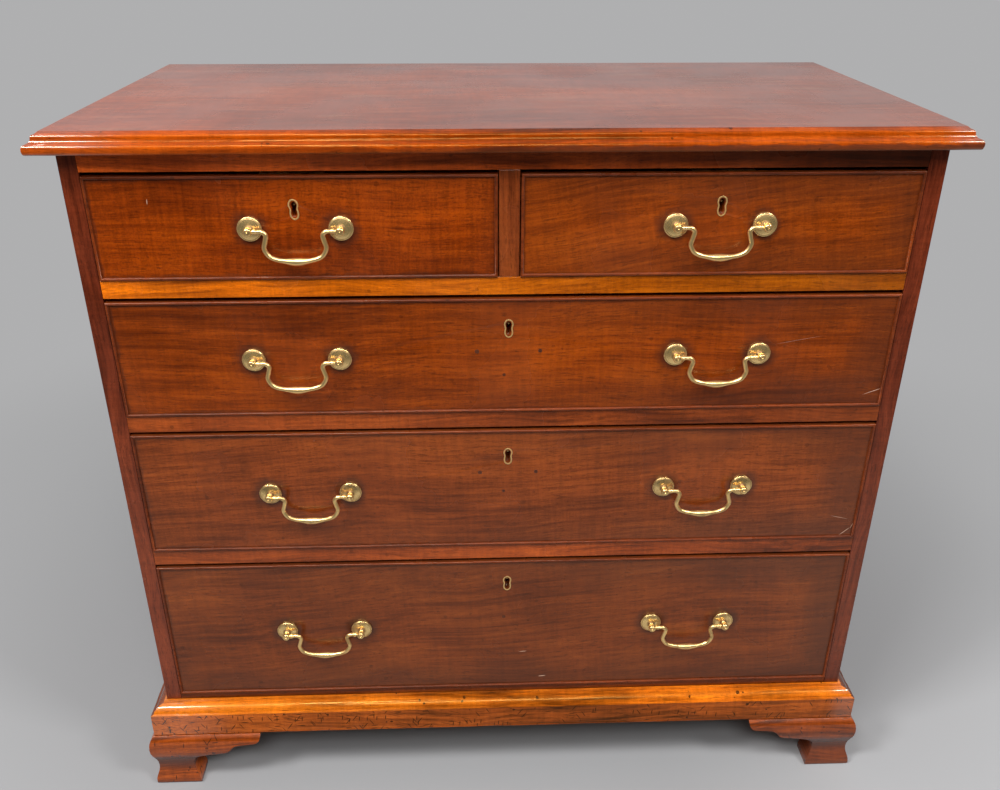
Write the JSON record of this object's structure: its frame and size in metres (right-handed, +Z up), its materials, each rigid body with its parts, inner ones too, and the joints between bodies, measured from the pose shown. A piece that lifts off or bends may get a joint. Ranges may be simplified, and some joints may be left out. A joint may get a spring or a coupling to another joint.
{
  "type": "bachelors chest",
  "caption": "Mahogany bachelors chest: short drawers over long graduated drawers, moulded top, ogee bracket feet and brass swan-neck bails.",
  "frame": {"origin": "the floor under the middle of the chest's plan", "axes": "+X to the right along the front, +Y from the front to the back, +Z up"},
  "size_m": [0.9524, 0.4862, 0.8686],
  "materials": {
    "mahogany": "aged dark red-brown mahogany, waxed, satin",
    "polished_mahogany": "orange-brown mahogany mouldings, french polished, glossy and worn",
    "lining": "aged oak and pine, bare and dry",
    "brass": "cast brass, old polish",
    "iron": "worn iron"
  },
  "bodies": {
    "case": {"top_board": "polished_mahogany", "left_side": "mahogany", "right_side": "mahogany", "back_panel": "lining", "bottom_board": "mahogany", "top_rail": "mahogany", "rear_top_rail": "lining", "upper_divider": "mahogany", "middle_divider": "mahogany", "lower_divider": "mahogany", "short_drawer_partition": "mahogany", "plinth": "polished_mahogany", "front_left_foot": "polished_mahogany", "front_right_foot": "polished_mahogany", "rear_left_foot": "polished_mahogany", "rear_right_foot": "polished_mahogany"},
    "upper_left_drawer": {"upper_left_drawer_front": "mahogany", "upper_left_drawer_box": "lining", "upper_left_drawer_bottom": "lining", "upper_left_handle_left_post": "brass", "upper_left_handle_right_post": "brass"},
    "upper_left_handle_bail": {"upper_left_handle_bail": "brass"},
    "upper_left_lock_bolt": {"upper_left_lock_bolt": "iron"},
    "upper_right_drawer": {"upper_right_drawer_front": "mahogany", "upper_right_drawer_box": "lining", "upper_right_drawer_bottom": "lining", "upper_right_handle_left_post": "brass", "upper_right_handle_right_post": "brass"},
    "upper_right_handle_bail": {"upper_right_handle_bail": "brass"},
    "upper_right_lock_bolt": {"upper_right_lock_bolt": "iron"},
    "first_long_drawer": {"first_long_drawer_front": "mahogany", "first_long_drawer_box": "lining", "first_long_drawer_bottom": "lining", "first_long_left_handle_left_post": "brass", "first_long_left_handle_right_post": "brass", "first_long_right_handle_left_post": "brass", "first_long_right_handle_right_post": "brass"},
    "first_long_left_handle_bail": {"first_long_left_handle_bail": "brass"},
    "first_long_right_handle_bail": {"first_long_right_handle_bail": "brass"},
    "first_long_lock_bolt": {"first_long_lock_bolt": "iron"},
    "second_long_drawer": {"second_long_drawer_front": "mahogany", "second_long_drawer_box": "lining", "second_long_drawer_bottom": "lining", "second_long_left_handle_left_post": "brass", "second_long_left_handle_right_post": "brass", "second_long_right_handle_left_post": "brass", "second_long_right_handle_right_post": "brass"},
    "second_long_left_handle_bail": {"second_long_left_handle_bail": "brass"},
    "second_long_right_handle_bail": {"second_long_right_handle_bail": "brass"},
    "second_long_lock_bolt": {"second_long_lock_bolt": "iron"},
    "third_long_drawer": {"third_long_drawer_front": "mahogany", "third_long_drawer_box": "lining", "third_long_drawer_bottom": "lining", "third_long_left_handle_left_post": "brass", "third_long_left_handle_right_post": "brass", "third_long_right_handle_left_post": "brass", "third_long_right_handle_right_post": "brass"},
    "third_long_left_handle_bail": {"third_long_left_handle_bail": "brass"},
    "third_long_right_handle_bail": {"third_long_right_handle_bail": "brass"},
    "third_long_lock_bolt": {"third_long_lock_bolt": "iron"}
  },
  "joints": [
    {"name": "upper_left_drawer_slide", "type": "slide", "parent": "case", "child": "upper_left_drawer", "axis": [0, -1, 0], "range_m": [0, 0.33]},
    {"name": "upper_left_handle_swing", "type": "hinge", "parent": "upper_left_drawer", "child": "upper_left_handle_bail", "pos_m": [-0.221, -0.229, 0.7672], "axis": [-1, 0, 0], "range_deg": [0, 100]},
    {"name": "upper_left_bolt_throw", "type": "slide", "parent": "upper_left_drawer", "child": "upper_left_lock_bolt", "axis": [0, 0, 1], "range_m": [0, 0.008]},
    {"name": "upper_right_drawer_slide", "type": "slide", "parent": "case", "child": "upper_right_drawer", "axis": [0, -1, 0], "range_m": [0, 0.33]},
    {"name": "upper_right_handle_swing", "type": "hinge", "parent": "upper_right_drawer", "child": "upper_right_handle_bail", "pos_m": [0.221, -0.229, 0.7672], "axis": [-1, 0, 0], "range_deg": [0, 100]},
    {"name": "upper_right_bolt_throw", "type": "slide", "parent": "upper_right_drawer", "child": "upper_right_lock_bolt", "axis": [0, 0, 1], "range_m": [0, 0.008]},
    {"name": "first_long_drawer_slide", "type": "slide", "parent": "case", "child": "first_long_drawer", "axis": [0, -1, 0], "range_m": [0, 0.33]},
    {"name": "first_long_left_handle_swing", "type": "hinge", "parent": "first_long_drawer", "child": "first_long_left_handle_bail", "pos_m": [-0.233, -0.229, 0.6192], "axis": [-1, 0, 0], "range_deg": [0, 100]},
    {"name": "first_long_right_handle_swing", "type": "hinge", "parent": "first_long_drawer", "child": "first_long_right_handle_bail", "pos_m": [0.233, -0.229, 0.6192], "axis": [-1, 0, 0], "range_deg": [0, 100]},
    {"name": "first_long_bolt_throw", "type": "slide", "parent": "first_long_drawer", "child": "first_long_lock_bolt", "axis": [0, 0, 1], "range_m": [0, 0.008]},
    {"name": "second_long_drawer_slide", "type": "slide", "parent": "case", "child": "second_long_drawer", "axis": [0, -1, 0], "range_m": [0, 0.33]},
    {"name": "second_long_left_handle_swing", "type": "hinge", "parent": "second_long_drawer", "child": "second_long_left_handle_bail", "pos_m": [-0.233, -0.229, 0.4462], "axis": [-1, 0, 0], "range_deg": [0, 100]},
    {"name": "second_long_right_handle_swing", "type": "hinge", "parent": "second_long_drawer", "child": "second_long_right_handle_bail", "pos_m": [0.233, -0.229, 0.4462], "axis": [-1, 0, 0], "range_deg": [0, 100]},
    {"name": "second_long_bolt_throw", "type": "slide", "parent": "second_long_drawer", "child": "second_long_lock_bolt", "axis": [0, 0, 1], "range_m": [0, 0.008]},
    {"name": "third_long_drawer_slide", "type": "slide", "parent": "case", "child": "third_long_drawer", "axis": [0, -1, 0], "range_m": [0, 0.33]},
    {"name": "third_long_left_handle_swing", "type": "hinge", "parent": "third_long_drawer", "child": "third_long_left_handle_bail", "pos_m": [-0.233, -0.229, 0.2397], "axis": [-1, 0, 0], "range_deg": [0, 100]},
    {"name": "third_long_right_handle_swing", "type": "hinge", "parent": "third_long_drawer", "child": "third_long_right_handle_bail", "pos_m": [0.233, -0.229, 0.2397], "axis": [-1, 0, 0], "range_deg": [0, 100]},
    {"name": "third_long_bolt_throw", "type": "slide", "parent": "third_long_drawer", "child": "third_long_lock_bolt", "axis": [0, 0, 1], "range_m": [0, 0.008]}
  ]
}
